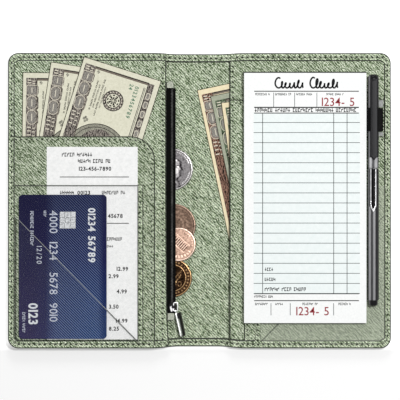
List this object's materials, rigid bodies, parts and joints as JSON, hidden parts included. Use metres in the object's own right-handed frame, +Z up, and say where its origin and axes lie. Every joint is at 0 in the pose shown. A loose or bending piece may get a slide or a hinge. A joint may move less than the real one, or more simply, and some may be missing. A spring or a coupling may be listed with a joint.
{
  "type": "guest check presenter",
  "caption": "Leather guest check presenter lying open, with pockets for notes, coins, card and receipt, a zip, a check pad and a pen in its loop.",
  "frame": {"origin": "middle of the underside of the open presenter", "axes": "+X to the right cover, +Y to the top edge, +Z up out of the inner side"},
  "size_m": [0.254, 0.196, 0.0149],
  "materials": {
    "sage_leather": "pebbled, satin",
    "board": "matt",
    "sage_lining": "pebbled, satin",
    "clear_vinyl": "clear, glossy",
    "zip_tape": "woven, matt",
    "zip_teeth": "moulded, dull",
    "zip_metal": "bright nickel",
    "pad_board": "matt",
    "pad_paper": "matt, printed",
    "pad_gum": "matt",
    "pen_black": "gloss",
    "pen_silver": "polished",
    "pen_gunmetal": "satin anodised",
    "refill_plastic": "smooth",
    "loop_elastic": "woven elastic",
    "card_plastic": "satin print",
    "chip_metal": "satin",
    "receipt_paper": "matt, printed",
    "note_paper": "matt, printed",
    "silver_metal": "struck, satin",
    "copper_metal": "struck, satin",
    "gold_metal": "struck, satin"
  },
  "bodies": {
    "right_cover": {"right_cover_skin": "sage_leather", "right_board": "board", "right_lining": "sage_lining", "right_hem": "sage_leather", "right_pocket_panel": "sage_leather", "slip_pocket_panel": "sage_leather", "pad_pocket_panel": "sage_leather", "right_window_pocket": "clear_vinyl", "right_window_binding": "sage_leather", "right_corner_flap": "clear_vinyl", "pen_loop": "loop_elastic"},
    "left_cover": {"left_cover_skin": "sage_leather", "left_board": "board", "left_lining": "sage_lining", "left_hem": "sage_leather", "zip_pocket_panel": "sage_leather", "bill_pocket_panel": "sage_leather", "left_window_pocket": "clear_vinyl", "left_window_binding": "sage_leather", "left_corner_flap": "clear_vinyl", "zip_tape_left": "zip_tape", "zip_tape_right": "zip_tape", "zip_teeth_left": "zip_teeth", "zip_teeth_right": "zip_teeth", "zip_top_end": "sage_leather", "zip_bottom_end": "sage_leather"},
    "spine": {"spine_skin": "sage_leather", "spine_stay": "board", "spine_lining": "sage_lining", "spine_hem": "sage_leather"},
    "slider": {"zip_slider": "zip_metal"},
    "link": {"zip_pull_link": "zip_metal"},
    "pull": {"zip_pull_tab": "zip_metal"},
    "pad": {"pad_backing": "pad_board", "pad_sheets": "pad_paper", "pad_binding": "pad_gum"},
    "page": {"pad_top_sheet": "pad_paper"},
    "pen_top": {"pen_cap": "pen_black", "pen_cap_band": "pen_silver", "pen_clip": "pen_silver"},
    "pen_body": {"pen_barrel": "pen_gunmetal", "pen_inlay": "pen_black", "pen_refill": "refill_plastic", "pen_tip": "pen_silver", "pen_end_plug": "pen_black"},
    "card": {"payment_card": "card_plastic", "card_chip": "chip_metal"},
    "till_receipt": {"receipt": "receipt_paper"},
    "left_banknote_1": {"left_note_1": "note_paper"},
    "left_banknote_2": {"left_note_2": "note_paper"},
    "left_banknote_3": {"left_note_3": "note_paper"},
    "right_banknote_1": {"right_note_1": "note_paper"},
    "right_banknote_2": {"right_note_2": "note_paper"},
    "right_banknote_3": {"right_note_3": "note_paper"},
    "silver_coin_body": {"silver_coin": "silver_metal"},
    "dark_copper_coin_body": {"dark_copper_coin": "copper_metal"},
    "golden_coin_body": {"golden_coin": "gold_metal"},
    "bright_copper_coin_body": {"bright_copper_coin": "copper_metal"}
  },
  "joints": [
    {"name": "cover_fold", "type": "hinge", "parent": "right_cover", "child": "left_cover", "pos_m": [-0.0021, 0, 0.01214], "axis": [0, 1, 0], "range_deg": [0, 180]},
    {"name": "spine_turn", "type": "hinge", "parent": "right_cover", "child": "spine", "pos_m": [-0.0021, 0, 0.01214], "axis": [0, 1, 0], "range_deg": [0, 90]},
    {"name": "zip_slide", "type": "slide", "parent": "left_cover", "child": "slider", "axis": [0, 1, 0], "range_m": [0, 0.14]},
    {"name": "link_lift", "type": "hinge", "parent": "slider", "child": "link", "pos_m": [-0.0172, -0.0704, 0.00635], "axis": [0, -1, 0], "range_deg": [0, 90]},
    {"name": "pull_swing", "type": "hinge", "parent": "link", "child": "pull", "pos_m": [-0.01585, -0.07325, 0.00635], "axis": [-1, 0, 0], "range_deg": [0, 60]},
    {"name": "pad_slide", "type": "slide", "parent": "right_cover", "child": "pad", "axis": [0, 1, 0], "range_m": [0, 0.15]},
    {"name": "page_flip", "type": "hinge", "parent": "pad", "child": "page", "pos_m": [0.06997, 0.0845, 0.01035], "axis": [-1, 0, 0], "range_deg": [0, 178]},
    {"name": "pen_slide", "type": "slide", "parent": "right_cover", "child": "pen_top", "axis": [0, 1, 0], "range_m": [0, 0.15]},
    {"name": "pen_pull", "type": "slide", "parent": "pen_top", "child": "pen_body", "axis": [0, -1, 0], "range_m": [0, 0.05]},
    {"name": "card_slide", "type": "slide", "parent": "left_cover", "child": "card", "axis": [0, 1, 0], "range_m": [0, 0.096]},
    {"name": "receipt_slide", "type": "slide", "parent": "left_cover", "child": "till_receipt", "axis": [0, 1, 0], "range_m": [0, 0.12]},
    {"name": "left_note_1_slide", "type": "slide", "parent": "left_cover", "child": "left_banknote_1", "axis": [0.0122, 0.9999, 0], "range_m": [0, 0.08]},
    {"name": "left_note_2_slide", "type": "slide", "parent": "left_cover", "child": "left_banknote_2", "axis": [0.1564, 0.9877, 0], "range_m": [0, 0.08]},
    {"name": "left_note_3_slide", "type": "slide", "parent": "left_cover", "child": "left_banknote_3", "axis": [0.3024, 0.9532, 0], "range_m": [0, 0.08]},
    {"name": "right_note_1_slide", "type": "slide", "parent": "right_cover", "child": "right_banknote_1", "axis": [0.9781, 0.2079, 0], "range_m": [0, 0.016]},
    {"name": "right_note_2_slide", "type": "slide", "parent": "right_cover", "child": "right_banknote_2", "axis": [0.9781, 0.2079, 0], "range_m": [0, 0.016]},
    {"name": "right_note_3_slide", "type": "slide", "parent": "right_cover", "child": "right_banknote_3", "axis": [0.9903, 0.1392, 0], "range_m": [0, 0.016]},
    {"name": "silver_coin_slide", "type": "slide", "parent": "left_cover", "child": "silver_coin_body", "axis": [-1, 0, 0], "range_m": [0, 0.016]},
    {"name": "dark_copper_coin_slide", "type": "slide", "parent": "left_cover", "child": "dark_copper_coin_body", "axis": [-1, 0, 0], "range_m": [0, 0.016]},
    {"name": "golden_coin_slide", "type": "slide", "parent": "left_cover", "child": "golden_coin_body", "axis": [-1, 0, 0], "range_m": [0, 0.016]},
    {"name": "bright_copper_coin_slide", "type": "slide", "parent": "left_cover", "child": "bright_copper_coin_body", "axis": [-1, 0, 0], "range_m": [0, 0.016]}
  ],
  "couplings": [
    {"joint": "spine_turn", "follows": "cover_fold", "ratio": 0.5}
  ]
}
